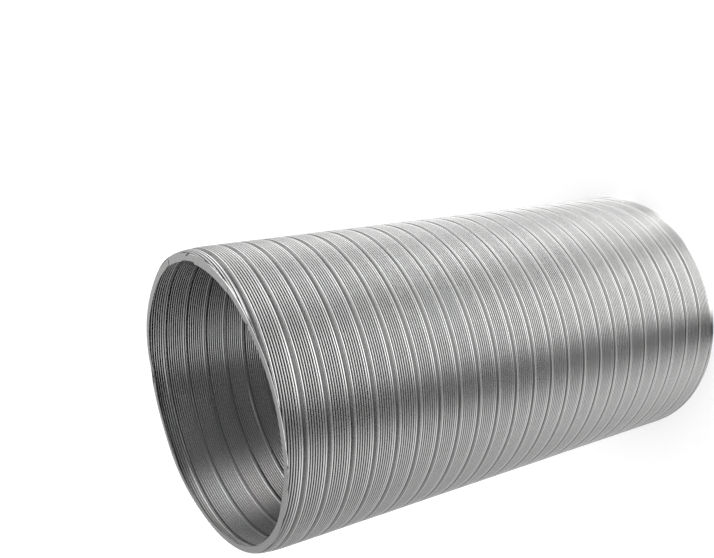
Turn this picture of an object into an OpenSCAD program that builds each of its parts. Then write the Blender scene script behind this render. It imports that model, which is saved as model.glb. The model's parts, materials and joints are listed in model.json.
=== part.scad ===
// Flexible aluminium duct: a short, pushed-together length of it, standing on one of its two open ends.
// One strip of thin foil is folded into fine ribs, wound into a tube and hooked to its own edge by a
// flat lock seam. The source draws the foil's folded section and turns it about the duct's axis, so
// each turn of the winding is a closed ring.

/* [Duct] */
// Inside diameter, across the inner folds: the nominal size of the spigot that the duct slips over
bore_d = 125; // [80:1:315]
// Turns of the strip, each with its own run of the lock seam
turns = 24; // [4:1:60]

/* [Ribs] */
// Ribs in one turn of the strip, half of them on each side of the seam
ribs = 8; // [4:2:12]
// Distance from one rib to the next
rib_pitch = 1.09; // [0.9:0.01:1.8]
// Height of the ribs, over both faces of the foil
rib_h = 3; // [1:0.1:4]
// Width of the fold on top of a rib, along the middle of the foil
crest_w = 0.34; // [0.26:0.02:0.4]
// Width of the fold between two ribs, along the middle of the foil
valley_w = 0.34; // [0.26:0.02:0.4]

/* [Lock seam] */
// Width of the sunk floor that carries the seam
floor_w = 1.96; // [1.2:0.02:4]
// Width of the hooked edges, where they lie pressed flat on this floor
lock_w = 1; // [0.6:0.05:1.15]
// Plies of foil in the pressed lock, the floor's own among them
lock_plies = 4; // [3:1:5]

/* [Foil] */
// Thickness of the foil
foil_t = 0.12; // [0.08:0.01:0.16]

/* [Hidden] */
$fn = 144;

// Radii of the middle of the foil, in the inner folds and in the outer ones
bore_r = bore_d / 2;
valley_r = bore_r + foil_t / 2;
crest_r = bore_r + rib_h - foil_t / 2;

// Width of one turn, where the seam's floor takes the place of one fold, and the whole length
turn_w = ribs * rib_pitch - valley_w + floor_w;
duct_len = turns * turn_w;

// Height of a rib's middle, above the end that the duct stands on
function rib_z(turn, i) =
    turn * turn_w + (i + 0.5) * rib_pitch + (i < ribs / 2 ? 0 : floor_w - valley_w);

// Middle line of the foil over one rib: up its lower flank, along its crest and down again
function rib_line(z) =
    let (foot = (rib_pitch - valley_w) / 2, top = crest_w / 2)
    [[valley_r, z - foot], [crest_r, z - top], [crest_r, z + top], [valley_r, z + foot]];

// At each mouth the outermost flank is pressed square, into a flat rim
lower_rim = [[valley_r, foil_t / 2], [crest_r, foil_t / 2]];
upper_rim = [for (p = [lower_rim[1], lower_rim[0]]) [p.x, duct_len - p.y]];

// Middle line of the foil from mouth to mouth. The first and the last rib each give their
// outermost flank to the rim.
rib_lines = [for (turn = [0:turns - 1]) for (i = [0:ribs - 1]) each rib_line(rib_z(turn, i))];
foil_line = concat(lower_rim, [for (i = [2:len(rib_lines) - 3]) rib_lines[i]], upper_rim);

// Mitred normal of a line at one of its points, as long as keeps a shifted line parallel
function unit(v) = v / norm(v);
function mitre(line, i) =
    let (
        last = len(line) - 1,
        before = unit(line[max(i, 1)] - line[max(i, 1) - 1]),
        after = unit(line[min(i, last - 1) + 1] - line[min(i, last - 1)]),
        along = before + after
    )
    [along.y, -along.x] / (1 + before * after);

// A line shifted to one side by a distance
function shifted(line, d) = [for (i = [0:len(line) - 1]) line[i] + d * mitre(line, i)];
function reversed(line) = [for (i = [len(line) - 1:-1:0]) line[i]];

// Section of the folded foil, from mouth to mouth
module foil_section() {
    polygon(concat(shifted(foil_line, foil_t / 2), reversed(shifted(foil_line, -foil_t / 2))));
}

// Section of the lock in one turn. It starts inside the flank at the lower side of the floor,
// where the hooked edge comes down from its rib.
module lock_section(turn) {
    floor_z = rib_z(turn, ribs / 2 - 1) + (rib_pitch - valley_w) / 2;
    overlap = foil_t / 3;
    translate([valley_r, floor_z - overlap])
        square([(lock_plies - 0.5) * foil_t, lock_w + overlap]);
}

// The wound tube, in one piece with its seam
module duct_wall() {
    color("silver")
        rotate_extrude(convexity = 10) {
            foil_section();
            for (turn = [0:turns - 1]) lock_section(turn);
        }
}

duct_wall();
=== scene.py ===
import json
import math

import bmesh
import bpy
import numpy as np
from mathutils import Matrix, Vector


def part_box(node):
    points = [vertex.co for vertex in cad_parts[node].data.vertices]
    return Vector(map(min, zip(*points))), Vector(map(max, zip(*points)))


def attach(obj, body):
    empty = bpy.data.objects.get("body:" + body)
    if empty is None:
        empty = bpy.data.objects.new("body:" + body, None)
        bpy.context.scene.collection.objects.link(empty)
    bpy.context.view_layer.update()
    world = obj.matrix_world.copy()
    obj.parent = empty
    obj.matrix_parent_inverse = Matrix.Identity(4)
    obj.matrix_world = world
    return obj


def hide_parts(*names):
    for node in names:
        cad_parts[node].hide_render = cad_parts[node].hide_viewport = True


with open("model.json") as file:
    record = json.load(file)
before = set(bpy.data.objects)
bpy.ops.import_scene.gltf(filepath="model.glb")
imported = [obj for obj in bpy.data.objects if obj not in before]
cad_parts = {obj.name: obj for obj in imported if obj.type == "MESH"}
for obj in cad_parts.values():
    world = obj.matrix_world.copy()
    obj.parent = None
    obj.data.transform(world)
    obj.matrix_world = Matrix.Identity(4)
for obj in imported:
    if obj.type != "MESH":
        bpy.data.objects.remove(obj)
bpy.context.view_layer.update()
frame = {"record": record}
print("duct: frame loaded")

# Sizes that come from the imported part, in metres
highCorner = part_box("duct_wall")[1]
outerRadius = highCorner.x
ductLength = highCorner.z
boreRadius = next(m["dims"]["r_mm"] for m in frame["record"]["mounts"] if m["kind"] == "bore") / 1000
fullTurn = 2 * math.pi
mm = 0.001


# Shader expressions

class Sock:     # one output of a node, so that sums and products of outputs read as plain expressions
    def __init__(self, shader, socket):
        self.shader = shader
        self.socket = socket

    def output(self, number):       # another output of the same node
        return Sock(self.shader, self.socket.node.outputs[number])

    def __add__(self, other):
        return self.shader.calc("ADD", self, other)

    def __radd__(self, other):
        return self.shader.calc("ADD", other, self)

    def __sub__(self, other):
        return self.shader.calc("SUBTRACT", self, other)

    def __rsub__(self, other):
        return self.shader.calc("SUBTRACT", other, self)

    def __mul__(self, other):
        return self.shader.calc("MULTIPLY", self, other)

    def __rmul__(self, other):
        return self.shader.calc("MULTIPLY", other, self)

    def __truediv__(self, other):
        return self.shader.calc("DIVIDE", self, other)

    def __rtruediv__(self, other):
        return self.shader.calc("DIVIDE", other, self)

    def __lt__(self, other):
        return self.shader.calc("LESS_THAN", self, other)

    def __gt__(self, other):
        return self.shader.calc("GREATER_THAN", self, other)


class Shader:
    def __init__(self, owner):
        owner.use_nodes = True
        self.tree = owner.node_tree
        self.tree.nodes.clear()

    # Any node: its settings come first, then values and links for its sockets, which go by name or, where
    # names repeat, by number, as in _0
    def add(self, kind, settings=None, out=0, **inputs):
        node = self.tree.nodes.new(kind)
        for key, value in (settings or {}).items():
            if key == "stops":
                ramp = node.color_ramp
                while len(ramp.elements) < len(value):
                    ramp.elements.new(1)
                for element, (place, level) in zip(ramp.elements, value):
                    element.position = place
                    element.color = (level, level, level, 1)
            else:
                setattr(node, key, value)
        for key, value in inputs.items():
            slot = node.inputs[int(key[1:])] if key[0] == "_" else node.inputs[key.replace("_", " ")]
            if isinstance(value, Sock):
                self.tree.links.new(value.socket, slot)
            else:
                slot.default_value = value
        return Sock(self, node.outputs[out]) if node.outputs else None

    def calc(self, operation, *values):
        numbered = {"_" + str(number): value for number, value in enumerate(values)}
        return self.add("ShaderNodeMath", {"operation": operation}, **numbered)


foilLook = {
    "brightness": (0.84, 0.90),     # darkest and lightest of the rolled foil
    "roughness": (0.13, 0.22),
    "shadedBrightness": 0.5,         # share of that brightness left under the deepest painted shade
    "shadeRoughness": 0.15,         # and what it adds to the roughness
    "blue": 0.995,                  # as a share of red and green
    "rollingScale": 900,            # fine rolling lines along the strip, counted across it, per metre
    "rollingStretch": 0.05,         # and how slowly they change along it
    "rollingDetail": 3.0,
    "rollingRoughness": 0.6,
    "dullScale": 34,                # hand marks and dull patches, per metre
    "dullDetail": 4.0,
    "dullRoughness": 0.55,
    "rollingBrightness": 0.5,       # share of the rolling lines in the brightness, the rest is dull patches
    "rollingShine": 0.35,           # and in the roughness
    "bump": 0.06,
    "bumpDepth": 0.05 * mm,
}


def foilMaterial():
    look = foilLook
    material = bpy.data.materials.new("rolled_foil")
    s = Shader(material)
    place = s.add("ShaderNodeTexCoord", out=3)
    stretch = look["rollingStretch"]
    stretched = s.add("ShaderNodeMapping", Vector=place, Scale=(stretch, stretch, 1))
    rolling = s.add("ShaderNodeTexNoise", Vector=stretched, Scale=look["rollingScale"],
                    Detail=look["rollingDetail"], Roughness=look["rollingRoughness"])
    dull = s.add("ShaderNodeTexNoise", Vector=place, Scale=look["dullScale"],
                 Detail=look["dullDetail"], Roughness=look["dullRoughness"])
    dust = s.add("ShaderNodeAttribute", {"attribute_name": "dust"}, out=2)

    dark, light = look["brightness"]
    lines = look["rollingBrightness"]
    level = dark + (light - dark) * (lines * rolling + (1 - lines) * dull)
    # Painted shade: the foil's colour is darkened in the grooves, crevices and duller folds that the section
    # marks
    level = level * (1 - (1 - look["shadedBrightness"]) * dust)
    tone = s.add("ShaderNodeCombineColor", Red=level, Green=level, Blue=level * look["blue"])

    smooth, rough = look["roughness"]
    lines = look["rollingShine"]
    roughness = smooth + (rough - smooth) * (lines * rolling + (1 - lines) * dull)
    roughness = roughness + look["shadeRoughness"] * dust
    bump = s.add("ShaderNodeBump", Strength=look["bump"], Distance=look["bumpDepth"], Height=rolling)
    surface = s.add("ShaderNodeBsdfPrincipled", Base_Color=tone, Metallic=1.0,
                    Roughness=roughness, Normal=bump)
    s.add("ShaderNodeOutputMaterial", Surface=surface)
    return material


# The strip's section over one turn, from the middle of one lock to the middle of the next. Each point is
# its place along the duct, its radius, and the painted shade on it, from 0 for bright foil to 1, which
# darkens and roughens the foil, most in the grooves and crevices. Places are from the middle of the seam's
# groove.

strip = {
    "turns": 24,                    # turns of the strip in the duct's length
    "ribs": 8,                      # ribs between two runs of the lock seam
    "ribPitch": 1.09 * mm,
    "foil": 0.12 * mm,
    "grooveHalf": 0.13 * mm,        # half width of the grooves between the ribs, at the bottom
    "flankBend": 0.7 * mm,          # the flanks bend at this distance from the fold that is seen
    "foldCrown": 0.14,              # share of a fold's height that its top takes up
    "lockMiddle": -0.6 * mm,
    "hookHeight": 1.2 * mm,         # depth of the crevice beside the lock, seen from inside
    "seamBelowMouth": 19.5 * mm,    # first seam below the upper mouth, on the side that faces the camera
    "seamFace": 0.485,              # where round the duct that is, in turns
    "seamLine": 0.25 * mm,          # what shows of a seam is this far over the middle of its groove
    "columns": 120,                 # mesh columns round the duct
    "runs": 6,                      # pieces that the strip is wound in, to keep each mesh small
    "stray": 0.09 * mm,             # pressed by hand, the ribs stray along the duct by up to this
    "strayOut": 0.5,                # and out from its axis by this share of it
    "strayElsewhere": (0.31, 0.7),  # with the same waves, taken further round and at a share of the height
    # share, waves round the duct, their lean and start, and the waves along the duct and their start
    "strayWaves": [(0.6, 2, 61, 0, 143, 1.3), (0.4, 5, -97, 0.7, 211, 0)],
}
turnWidth = ductLength / strip["turns"]

# The outer face, with painted shade: the folds in the middle are painted darker and rougher than the
# folds beside the seam, so that those stand out brighter.
outside = {
    "fold": (0.27 * mm, 0.13 * mm, 0.22 * mm),      # half width at its flanks and at its top, height
    "lockPlies": 0.42 * mm,         # height of the pressed lock over the seam's floor
    "lockEdge": -0.12 * mm,
    "lockSlope": 0.17 * mm,
    "hookEdge": 0.55 * mm,
    # painted shade on the lock, down in the seam's groove
    "lockShade": 0.8,
    "cornerShade": 0.9,              # painted shade in the corners at the seam's floor
    "grooveShade": 0.15,             # more painted shade in a groove than on the flank beside it
    # of each rib: where the flanks before and after it bend, with the painted shade there, the shift of its
    # fold, what the fold's two sides are widened by, and the painted shade on these sides and on its top
    "first": {"before": (-0.3 * mm, 0.8), "after": (0.36 * mm, 0.5),
              "shift": 0.06 * mm, "widen": (0, 0.08 * mm), "foldShade": (0.5, 0)},
    "second": {"before": (-0.32 * mm, 0.5), "after": (0.36 * mm, 0.62),
               "shift": 0, "widen": (0.08 * mm, 0), "foldShade": (0.55, 0.2)},
    "middle": {"before": (-0.32 * mm, 0.62), "after": (0.36 * mm, 0.62),
               "shift": 0, "widen": (0, 0), "foldShade": (0.65, 0.38)},
    "last": {"before": (-0.32 * mm, 0.62),
             "shift": 0, "widen": (0, 0.08 * mm), "foldShade": (0.5, 0.05)},
    # the hooked edge lies on the last rib's flank as a sloping shoulder beside the crevice: place from
    # the rib's middle, distance in from the outer radius, painted shade
    "shoulder": [(0.36 * mm, 0.34 * mm, 0.85), (0.42 * mm, 0.46 * mm, 0.6), (0.57 * mm, 0.65 * mm, 0.4),
                 (0.66 * mm, 0.9 * mm, 0.6), (0.7 * mm, 1.25 * mm, 0.8)],
    "shoulderFoot": 0.74 * mm,
}


def ribCentres():
    first = (turnWidth - (strip["ribs"] - 1) * strip["ribPitch"]) / 2
    return [first + i * strip["ribPitch"] for i in range(strip["ribs"])]


# One fold in four points: its sides go down to a smaller radius with -1, or to a larger one with 1
def roundFold(middle, radius, down, fold, foldShade, widen=(0, 0)):
    side, flat, height = fold
    before, after = widen
    sideShade, topShade = foldShade
    foot = radius + down * height
    edge = radius + down * height * strip["foldCrown"]
    return [(middle - side - before, foot, sideShade), (middle - flat - before, edge, topShade),
            (middle + flat + after, edge, topShade), (middle + side + after, foot, sideShade)]


def outerSection():
    floorRadius = boreRadius + strip["foil"]
    lock = floorRadius + outside["lockPlies"]
    hook = floorRadius + strip["hookHeight"]
    bend = outerRadius - strip["flankBend"]
    grooveEdge = strip["ribPitch"] / 2 - strip["grooveHalf"]
    lockEdge, hookEdge, slope = outside["lockEdge"], outside["hookEdge"], outside["lockSlope"]
    lockShade, cornerShade = outside["lockShade"], outside["cornerShade"]
    points = [(strip["lockMiddle"], lock, lockShade), (lockEdge, lock, lockShade),
              (lockEdge + slope, hook, lockShade), (hookEdge, hook, lockShade),
              (hookEdge + slope, floorRadius, cornerShade)]
    kinds = ["first", "second", *["middle"] * (strip["ribs"] - 3), "last"]
    for centre, kind in zip(ribCentres(), kinds):
        rib = outside[kind]
        along, dust = rib["before"]
        grooveShade = cornerShade if kind == "first" else dust + outside["grooveShade"]
        points += [(centre - grooveEdge, floorRadius, grooveShade), (centre + along, bend, dust)]
        points += roundFold(centre + rib["shift"], outerRadius, -1, outside["fold"], rib["foldShade"],
                            rib["widen"])
        if kind == "last":
            points += [(centre + along, outerRadius - inwards, dust)
                       for along, inwards, dust in outside["shoulder"]]
            points += [(centre + outside["shoulderFoot"], lock, cornerShade)]
        else:
            along, dust = rib["after"]
            points += [(centre + along, bend, dust),
                       (centre + grooveEdge, floorRadius, dust + outside["grooveShade"])]
    return points


# The inner face. Its lists give places along the duct, heights over the bore, and painted shade, deepest
# in the crevice and in the grooves behind the outer folds.
inside = {
    "fold": (0.27 * mm, 0.09 * mm, 0.3 * mm),       # half width at its flanks and at its top, height
    "foldShade": (0.05, 0.05),       # painted shade on its sides and on its top
    "flank": 0.2 * mm,              # the flanks bend this far from a rib's middle
    # from the middle of the seam's groove
    "crevice": [(strip["lockMiddle"], 0, 0.55), (-0.08 * mm, 0, 0.6), (0, 0.12 * mm, 1),
                (0.08 * mm, strip["hookHeight"], 1), (0.49 * mm, strip["hookHeight"], 1),
                (0.57 * mm, 0.1 * mm, 0.7), (0.63 * mm, 0, 0), (0.68 * mm, 0.04 * mm, 0)],
    # from the middle of the first rib: the end of the smooth band beside the crevice, which leans out
    "band": [(-0.33 * mm, 0.33 * mm, 0), (-0.27 * mm, 0.38 * mm, 0.1), (-0.2 * mm, strip["flankBend"], 1)],
    # from the middle of the last rib
    "end": [(0.2 * mm, strip["flankBend"], 0.85), (0.27 * mm, 0.22 * mm, 0.3), (0.4 * mm, 0, 0.5)],
}


def innerSection():
    top = outerRadius - strip["foil"]
    bend = boreRadius + strip["flankBend"]
    groove, flank = strip["grooveHalf"], inside["flank"]
    centres = ribCentres()
    points = [(along, boreRadius + height, dust) for along, height, dust in inside["crevice"]]
    points += [(centres[0] + along, boreRadius + height, dust) for along, height, dust in inside["band"]]
    for centre, following in zip(centres, centres[1:] + [None]):
        points += [(centre - groove, top, 1), (centre + groove, top, 1)]
        if following:
            fold = roundFold((centre + following) / 2, boreRadius, 1, inside["fold"], inside["foldShade"])
            points += [(centre + flank, bend, 1), *fold, (following - flank, bend, 1)]
    points += [(centres[-1] + along, boreRadius + height, dust) for along, height, dust in inside["end"]]
    return points


# Place of the first lock at or below the lower rim, on the side where the winding starts
def seamStart():
    seam = ductLength - strip["seamBelowMouth"] - turnWidth * (1 - strip["seamFace"])
    middle = seam - strip["seamLine"] + strip["lockMiddle"]
    return middle - math.ceil(middle / turnWidth) * turnWidth


def stray(turn, height):
    angle = turn * fullTurn
    return sum(share * np.sin(waves * angle + lean * height + start) * np.sin(along * height + alongStart)
               for share, waves, lean, start, along, alongStart in strip["strayWaves"])


# The upper mouth: it is cut on a slant, squeezed a little, and its first ribs are pressed in by hand
mouth = {
    "rise": (0.0263, -0.0557),      # rise at +X and at +Y for each unit of radius
    "lift": 0.8 * mm,               # it stands this far over the CAD's flat one, at the axis
    "squeeze": 0.018,               # it is this much narrower across Y than across X
    "squeezeDepth": 12 * mm,        # which dies out over this depth
    "pressedDepth": 4 * mm,         # the ribs are pressed in over this depth
    "pressedShare": 0.12,           # by up to this share of their height
    "pressedDarkening": 0.4,             # and they are this much darker and rougher
    "sink": 0.2 * mm,               # they end this far inside either rim
    "spare": 5 * mm,                # the strip is wound this far past the flat mouth before it is cut
    # bends of the rim: turn round the duct, height, half width in turns
    "dents": [(0.11, 0.5 * mm, 0.07), (0.92, 0.55 * mm, 0.07), (0.985, -0.35 * mm, 0.03),
              (0.6, 0.25 * mm, 0.05), (0.45, -0.2 * mm, 0.04), (0.32, 0.2 * mm, 0.05)],
}


def mouthHeight(x, y):
    riseX, riseY = mouth["rise"]
    return ductLength + mouth["lift"] + riseX * x + riseY * y


# How far the upper rim is bent up or down at a turn round the duct
def rimDent(turn):
    height = 0
    for middle, rise, halfWidth in mouth["dents"]:
        away = abs((turn - middle + 0.5) % 1 - 0.5) / halfWidth
        if away < 1:
            height += rise * (0.5 + 0.5 * math.cos(math.pi * away))
    return height


# Near the upper mouth the ribs follow its bent rim, and are pressed in and squeezed
def handleRibs(turn, radius, z):
    across, up = math.cos(turn * fullTurn), math.sin(turn * fullTurn)
    rimHeight = mouthHeight(radius * across, radius * up) + rimDent(turn)
    pressed = np.clip(1 - (rimHeight - z) / mouth["pressedDepth"], 0, 1) ** 2
    z = z + rimDent(turn) * pressed
    radius = radius - mouth["pressedShare"] * pressed * np.maximum(radius - boreRadius, 0)
    squeezed = np.clip(1 - (rimHeight - z) / mouth["squeezeDepth"], 0, 1) ** 2
    radius = radius * (1 - mouth["squeeze"] * up ** 2 * squeezed)
    return radius, z, mouth["pressedDarkening"] * pressed


# Vertices, painted shade, quads and numbering of one face of the strip, which joins itself turn by turn
def stripFace(points, firstTurn, turnCount):
    columns = strip["columns"]
    perTurn = len(points)
    rows = perTurn * turnCount + 1
    section = np.array(points)
    row = np.arange(rows)
    place, radius, dust = (section[row % perTurn, part] for part in range(3))
    along = seamStart() + (firstTurn + row // perTurn) * turnWidth + place - strip["lockMiddle"]
    onTurns, atHeight = strip["strayElsewhere"]
    verts, allShade, number = [], [], np.full((rows, columns + 1), -1)
    for column in range(columns + 1):
        turn = column / columns
        own = row[:perTurn] if column == columns else row
        z = along[own] - turnWidth * turn
        z = z + strip["stray"] * stray(turn, z)
        outwards = strip["strayOut"] * strip["stray"] * stray(turn + onTurns, z * atHeight)
        out = radius[own] + outwards * (radius[own] > boreRadius)
        out, z, moreDarkening = handleRibs(turn, out, z)
        number[own, column] = len(verts) + np.arange(len(own))
        verts += list(zip(out * math.cos(turn * fullTurn), out * math.sin(turn * fullTurn), z))
        allShade += list(np.clip(dust[own] + moreDarkening, 0, 1))
    number[perTurn:, columns] = number[:-perTurn, 0]    # a turn ends where the next one starts
    quads = [(number[i, j], number[i, j + 1], number[i + 1, j + 1], number[i + 1, j])
             for i in range(rows - 1) for j in range(columns)]
    return verts, allShade, quads, number


# Cuts the winding at the flat lower rim and at the slanted upper one
def cutEnds(mesh):
    riseX, riseY = mouth["rise"]
    slanted = Vector((-riseX, -riseY, 1)).normalized()
    centre = Vector((0, 0, mouthHeight(0, 0)))
    work = bmesh.new()
    work.from_mesh(mesh)
    for point, away in ((Vector((0, 0, mouth["sink"])), Vector((0, 0, -1))),
                        (centre - slanted * mouth["sink"], slanted)):
        everything = work.verts[:] + work.edges[:] + work.faces[:]
        bmesh.ops.bisect_plane(work, geom=everything, plane_co=point, plane_no=away, clear_outer=True)
    work.to_mesh(mesh)
    work.free()


def newObject(name, mesh):
    piece = bpy.data.objects.new(name, mesh)
    bpy.context.scene.collection.objects.link(piece)
    return piece


# Gives a piece its foil and smooth shading, and its place in the frame
def dressPiece(piece, foil):
    mesh = piece.data
    mesh.materials.append(foil)
    mesh.polygons.foreach_set("use_smooth", [True] * len(mesh.polygons))
    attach(piece, "root")
    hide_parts("duct_wall")
    print("duct:", piece.name, len(mesh.polygons), "faces")


def windTurns(name, firstTurn, turnCount, foil):
    outerVerts, outerShade, outerQuads, outerNumber = stripFace(outerSection(), firstTurn, turnCount)
    innerVerts, innerShade, innerQuads, innerNumber = stripFace(innerSection(), firstTurn, turnCount)
    shift = len(outerVerts)
    faces = outerQuads + [tuple(shift + n for n in reversed(q)) for q in innerQuads]
    # thin foil edges where this run of turns meets the next
    for i, flip in ((0, False), (-1, True)):
        for j in range(strip["columns"]):
            edge = [outerNumber[i, j], outerNumber[i, j + 1],
                    shift + innerNumber[i, j + 1], shift + innerNumber[i, j]]
            faces.append(tuple(edge if flip else reversed(edge)))
    mesh = bpy.data.meshes.new(name)
    mesh.from_pydata([tuple(v) for v in outerVerts + innerVerts], [],
                     [tuple(int(n) for n in f) for f in faces])
    dust = mesh.attributes.new("dust", "FLOAT", "POINT")
    dust.data.foreach_set("value", outerShade + innerShade)
    cutEnds(mesh)
    dressPiece(newObject(name, mesh), foil)


# The rims: the cut edges of the strip, each pressed flat into a thin ring

lowerRim = {
    "columns": 240,
    "rings": 12,
    "foil": 0.16 * mm,
    "side": 1,                      # side of its faces that the foil's thickness goes to, into the duct
    "nicks": [],
}

upperRim = {
    "columns": 1200,
    "rings": 12,
    "foil": 0.16 * mm,
    "side": -1,
    "reach": 0.6 * mm,              # how far its torn edge reaches into the bore
    "ripple": 0.12 * mm,            # height of the small waves in that edge
    "rippleWaves": (11, 4),
    "edgeStep": 0.003,              # a step in it takes this part of a turn
    "flatTo": 0.985,                # it is flat up to this share of the outer radius, and rounded from there
    "flatRings": 0.75,              # share of its rings in the flat part
    "roundOff": 0.006,              # share of the outer radius that the rounding takes up
    "roundDrop": 0.3 * mm,
    "crinkle": 0.035 * mm,
    "crinkleWaves": (83, 17, 151),  # round the rim: the first two multiplied, and the third added
    "crinkleThird": 0.6,            # share of the third
    "crinkleLean": (5, 3),          # how far the first and the third lean across the rim
    "crinkleFade": 0.6,             # share of the crinkle that is gone at the outer edge
    # stretches where the foil's edge reaches further into the bore or less: from turn, to turn, more reach
    "edges": [(0.643, 0.72, 0.7 * mm), (0.58, 0.64, -0.1 * mm), (0.4, 0.52, -0.15 * mm),
              (0.25, 0.4, -0.35 * mm), (0.75, 0.79, 0.45 * mm), (0.8, 0.95, 0.3 * mm)],
    # tears and nicks: turn round the duct, share of the outer radius, length, width, lean from the rim's run
    "nicks": [(0.732, 0.970, 5.0 * mm, 0.7 * mm, -0.35), (0.7885, 0.948, 2.6 * mm, 0.7 * mm, -0.9),
              (0.8325, 0.975, 2.0 * mm, 1.1 * mm, 1.4), (0.597, 0.947, 1.6 * mm, 1.2 * mm, 1.57),
              (0.4583, 0.985, 2.6 * mm, 0.8 * mm, 0.1), (0.6425, 0.955, 1.6 * mm, 0.5 * mm, 1.2),
              (0.2105, 0.972, 2.0 * mm, 0.6 * mm, 1.4), (0.190, 0.972, 2.2 * mm, 0.8 * mm, 1.7),
              (0.168, 0.975, 1.8 * mm, 0.6 * mm, 1.5), (0.147, 0.978, 2.0 * mm, 0.6 * mm, 1.45)],
}
creaseAngle = math.radians(40)      # edges of both rims that bend by more stay sharp


def lowerRimPoint(turn, share):
    radius = boreRadius + (outerRadius - boreRadius) * share
    return radius * math.cos(turn * fullTurn), radius * math.sin(turn * fullTurn), 0


def edgeReach(turn):
    fine, coarse = upperRim["rippleWaves"]
    waves = math.sin(turn * fullTurn * fine) * math.sin(turn * fullTurn * coarse + 1)
    reach = upperRim["reach"] + upperRim["ripple"] * waves
    for start, end, more in upperRim["edges"]:
        reach += more * min(max(min(turn - start, end - turn) / upperRim["edgeStep"], 0), 1)
    return reach


def crinkle(angle, share):
    first, second, third = upperRim["crinkleWaves"]
    lean, backLean = upperRim["crinkleLean"]
    waves = math.sin(angle * first + lean * share) * math.sin(angle * second + 1)
    waves += upperRim["crinkleThird"] * math.sin(angle * third - backLean * share)
    return upperRim["crinkle"] * waves * (1 - upperRim["crinkleFade"] * share)


# A point of the upper rim; share is 0 at its torn edge and 1 outside
def upperRimPoint(turn, share):
    angle = turn * fullTurn
    inner, flat = boreRadius - edgeReach(turn), outerRadius * upperRim["flatTo"]
    flatRings = upperRim["flatRings"]
    bend = max(share - flatRings, 0) / (1 - flatRings)
    radius = inner + (flat - inner) * min(share / flatRings, 1) + outerRadius * upperRim["roundOff"] * bend
    radius *= 1 - mouth["squeeze"] * math.sin(angle) ** 2
    x, y = radius * math.cos(angle), radius * math.sin(angle)
    z = mouthHeight(x, y) + rimDent(turn) + crinkle(angle, share) - upperRim["roundDrop"] * bend ** 2
    return x, y, z


def inNick(corners, nicks):
    middle = sum((corner.co for corner in corners), Vector()) / 4
    turn = math.atan2(middle.y, middle.x) / fullTurn % 1
    radius = math.hypot(middle.x, middle.y)
    for nickTurn, nickRadius, length, width, lean in nicks:
        x = (turn - nickTurn) * fullTurn * outerRadius
        y = radius - nickRadius * outerRadius
        along = x * math.cos(lean) + y * math.sin(lean)
        aside = y * math.cos(lean) - x * math.sin(lean)
        if (2 * along / length) ** 2 + (2 * aside / width) ** 2 < 1:
            return True
    return False


def pressedRim(name, rim, rimPoint, foil):
    columns, rings = rim["columns"], rim["rings"]
    work = bmesh.new()
    grid = [[work.verts.new(rimPoint(column / columns, ring / rings)) for column in range(columns)]
            for ring in range(rings + 1)]
    for ring in range(rings):
        for column in range(columns):
            after = (column + 1) % columns
            corners = (grid[ring][column], grid[ring + 1][column], grid[ring + 1][after], grid[ring][after])
            if not inNick(corners, rim["nicks"]):
                work.faces.new(corners)
    mesh = bpy.data.meshes.new(name)
    work.to_mesh(mesh)
    work.free()
    piece = newObject(name, mesh)
    solid = piece.modifiers.new("foil", "SOLIDIFY")
    solid.thickness = rim["foil"]
    solid.offset = rim["side"]
    bpy.context.view_layer.objects.active = piece
    piece.select_set(True)
    bpy.ops.object.modifier_apply(modifier="foil")
    piece.select_set(False)
    dressPiece(piece, foil)
    piece.data.set_sharp_from_angle(angle=creaseAngle)


rolledFoil = foilMaterial()
turnsNeeded = math.ceil((ductLength + turnWidth + mouth["spare"] - seamStart()) / turnWidth)
firstTurn = 0
for run in range(strip["runs"]):
    lastTurn = round(turnsNeeded * (run + 1) / strip["runs"])
    windTurns("ribbed_strip_" + str(run + 1), firstTurn, lastTurn - firstTurn, rolledFoil)
    firstTurn = lastTurn
pressedRim("lower_rim", lowerRim, lowerRimPoint, rolledFoil)
pressedRim("upper_rim", upperRim, upperRimPoint, rolledFoil)


# Studio

# 1 for the rays that show the background: to the camera, in the metal and through glass
def rayIsSeen(s):
    ray = s.add("ShaderNodeLightPath")
    return s.calc("MAXIMUM", ray, s.calc("MAXIMUM", ray.output(3), ray.output(6)))


floorLook = {
    "size": 14,
    "colour": (0.9, 0.9, 0.9),
    "glow": 0.35,                   # added for the rays that show it
    "drop": 0.2 * mm,               # it lies this far below the rim
}


def floor():
    half = floorLook["size"] / 2
    mesh = bpy.data.meshes.new("floor")
    mesh.from_pydata([(-half, -half, 0), (half, -half, 0), (half, half, 0), (-half, half, 0)],
                     [], [(0, 1, 2, 3)])
    plane = newObject("floor", mesh)
    plane.location.z = -floorLook["drop"]
    material = bpy.data.materials.new("white_floor")
    s = Shader(material)
    paint = s.add("ShaderNodeBsdfDiffuse", Color=(*floorLook["colour"], 1))
    glow = s.add("ShaderNodeEmission", Strength=rayIsSeen(s) * floorLook["glow"])
    both = s.add("ShaderNodeAddShader", _0=paint, _1=glow)
    s.add("ShaderNodeOutputMaterial", Surface=both)
    mesh.materials.append(material)


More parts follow.
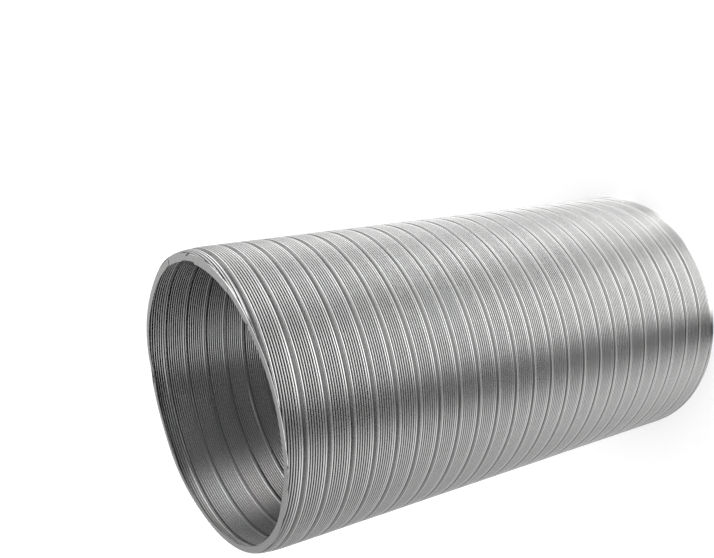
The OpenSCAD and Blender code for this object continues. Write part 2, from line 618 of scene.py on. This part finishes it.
# Grey cards round the duct and on the floor, which show only as bands in the metal
cardRing = {
    "radius": 1.6,
    "height": 3.5,
    "bend": 0.3,                    # size of the bend between the cards on the floor and the upright ones
    "sides": 96,
    "overFloor": 0.5 * mm,
    "strength": 2.0,
    "inDuct": 0.07,                 # share of it on the floor inside the duct, in its own shade
    "uprightAt": 0.3,               # up to this height the cards on the floor turn into the upright ones
    "highFrom": (0.45, 0.8),        # between these heights the low upright ones turn into the high ones
    "footReach": (2, 6),            # between these outer radii the ones at the duct's foot end
    "facing": 0.533,                # side of the duct that faces the camera, in turns
    "leanRounds": 4,                # rounds that find where a ray leaves the duct
    "closest": 0.98,                # largest share of a place's distance that the outer radius counts as
    # brightness of the cards, low, high, on the floor, and there at the duct's foot: place in turns from
    # +X, level
    "low": [(0.0, 0.22), (0.033, 0.16), (0.14, 0.18), (0.227, 0.28), (0.307, 0.39), (0.347, 0.33),
            (0.387, 0.25), (0.427, 0.04), (0.467, 0.09), (0.487, 0.3), (0.507, 0.52), (0.547, 0.62),
            (0.587, 0.72), (0.61, 0.7), (0.635, 0.36), (0.667, 0.14), (0.707, 0.04), (0.747, 0.08),
            (0.787, 0.15), (0.827, 0.58), (0.867, 0.85), (0.907, 0.52), (0.95, 0.24), (0.985, 0.14),
            (1.0, 0.22)],
    "high": [(0.0, 0.22), (0.033, 0.17), (0.07, 0.16), (0.2, 0.15), (0.26, 0.2), (0.31, 0.4),
             (0.36, 0.55), (0.4, 0.36), (0.44, 0.06), (0.5, 0.03), (0.6, 0.02), (0.7, 0.14),
             (0.74, 0.7), (0.77, 0.95), (0.82, 0.8), (0.87, 0.2), (0.91, 0.15), (0.96, 0.22),
             (1.0, 0.22)],
    "floor": [(0.0, 0.33), (0.03, 0.29), (0.15, 0.28), (0.227, 0.4), (0.267, 0.43), (0.307, 0.5),
              (0.347, 0.53), (0.387, 0.46), (0.427, 0.06), (0.447, 0.07), (0.467, 0.18), (0.487, 0.52),
              (0.507, 0.82), (0.547, 0.88), (0.587, 1.0), (0.61, 1.0), (0.635, 0.8), (0.667, 0.58),
              (0.687, 0.8), (0.707, 1.0), (0.747, 1.0), (0.787, 0.18), (0.827, 0.65), (0.867, 1.0),
              (0.907, 0.52), (0.95, 0.22), (0.985, 0.2), (1.0, 0.33)],
    "foot": [(0.0, 0.3), (0.03, 0.25), (0.15, 0.2), (0.227, 0.26), (0.267, 0.27), (0.307, 0.32),
             (0.347, 0.35), (0.387, 0.32), (0.427, 0.06), (0.447, 0.07), (0.467, 0.22), (0.487, 0.6),
             (0.507, 0.9), (0.547, 1.0), (0.587, 1.0), (0.61, 1.0), (0.635, 0.9), (0.667, 0.55),
             (0.687, 0.6), (0.707, 0.7), (0.747, 1.0), (0.787, 0.1), (0.827, 0.4), (0.867, 1.0),
             (0.907, 0.42), (0.95, 0.12), (0.985, 0.12), (1.0, 0.3)],
}


# The turn that a place on the floor stands for. A ray that comes from the camera's side and leaves the
# duct at the turn lean, from there, goes on at twice that turn. A place close to the foot belongs to the
# turn that its ray has far out, and so the bands run straight along the duct.
def farTurn(s, turn, reach):
    facing = cardRing["facing"]
    away = (s.calc("FRACT", turn + (1 - facing + 0.5)) - 0.5) * fullTurn
    nearness = s.calc("MINIMUM", outerRadius / reach, cardRing["closest"])
    lean = away * 0.5
    for step in range(cardRing["leanRounds"]):
        lean = (away + s.calc("ARCSINE", nearness * s.calc("SINE", lean))) * 0.5
    return s.calc("FRACT", 2 * lean / fullTurn + (1 + facing))


def cardMesh():
    radius, bend, low = cardRing["radius"], cardRing["bend"], cardRing["overFloor"]
    profile = [(1 * mm, low), (outerRadius + 1 * mm, low), (radius - bend, 2 * low), (radius, bend),
               (radius, cardRing["height"])]
    sides, rows = cardRing["sides"], len(profile)
    verts, faces = [], []
    for side in range(sides):
        angle = side / sides * fullTurn
        verts += [(out * math.cos(angle), out * math.sin(angle), z) for out, z in profile]
        a, b = rows * side, rows * ((side + 1) % sides)
        faces += [(a + i, b + i, b + i + 1, a + i + 1) for i in range(rows - 1)]
    mesh = bpy.data.meshes.new("grey_cards")
    mesh.from_pydata(verts, [], faces)
    return mesh


def cards():
    material = bpy.data.materials.new("grey_cards")
    s = Shader(material)
    x = s.add("ShaderNodeSeparateXYZ", Vector=s.add("ShaderNodeTexCoord", out=3))
    y, z = x.output(1), x.output(2)
    turn = s.calc("FRACT", s.calc("ARCTAN2", y, x) / fullTurn + 1)
    reach = s.calc("SQRT", x * x + y * y)
    far = farTurn(s, turn, reach)

    def bands(name, at):
        return s.add("ShaderNodeValToRGB", {"stops": cardRing[name]}, Fac=at)

    def between(value, start, end):
        return s.add("ShaderNodeMapRange", {"interpolation_type": "SMOOTHSTEP"}, Value=value,
                     From_Min=start, From_Max=end)

    def mixed(share, first, second):
        return s.add("ShaderNodeMix", {"data_type": "RGBA"}, out=2, _0=share, _6=first, _7=second)

    upright = mixed(between(z, *cardRing["highFrom"]), bands("low", turn), bands("high", turn))
    closeBy, farOff = (outerRadius * distance for distance in cardRing["footReach"])
    onFloor = mixed(between(reach, closeBy, farOff), bands("foot", far), bands("floor", far))
    level = mixed(between(z, 0, cardRing["uprightAt"]), onFloor, upright)
    inDuct = reach < boreRadius
    strength = cardRing["strength"] * (1 - inDuct * (1 - cardRing["inDuct"]))
    glow = s.add("ShaderNodeEmission", Color=level, Strength=strength)
    s.add("ShaderNodeOutputMaterial", Surface=glow)
    material.cycles.emission_sampling = "NONE"

    ring = newObject("grey_cards", cardMesh())
    ring.data.materials.append(material)
    ring.visible_camera = False
    ring.visible_diffuse = False
    ring.visible_shadow = False
    ring.visible_transmission = False


surroundLevel = 0.9     # of the light all round; the rays that show it see plain white


def surround():
    world = bpy.data.worlds.new("surround")
    bpy.context.scene.world = world
    s = Shader(world)
    level = surroundLevel + (1 - surroundLevel) * rayIsSeen(s)
    glow = s.add("ShaderNodeBackground", Strength=level, Color=(1, 1, 1, 1))
    s.add("ShaderNodeOutputWorld", Surface=glow)


shot = {
    "lens": 42.78,
    "sensor": 36,
    "nearest": 0.01,
    "place": (-5.113, -1.0669, 5.7589),     # in outer radii from the middle of the lower rim
    "right": (-0.5318, 0.1137, -0.8392),    # directions of the picture's right side and its top
    "up": (0.0, -0.991, -0.1342),
}


def camera():
    data = bpy.data.cameras.new("camera")
    data.lens = shot["lens"]
    data.sensor_width = shot["sensor"]
    data.clip_start = shot["nearest"]
    eye = newObject("camera", data)
    right = Vector(shot["right"]).normalized()
    back = right.cross(Vector(shot["up"])).normalized()
    up = back.cross(right)
    turned = Matrix((right, up, back)).transposed().to_4x4()
    eye.matrix_world = Matrix.Translation(Vector(shot["place"]) * outerRadius) @ turned
    bpy.context.scene.camera = eye


floor()
cards()
surround()
camera()
bpy.context.scene.view_settings.view_transform = "Standard"
print("duct: studio and camera set")
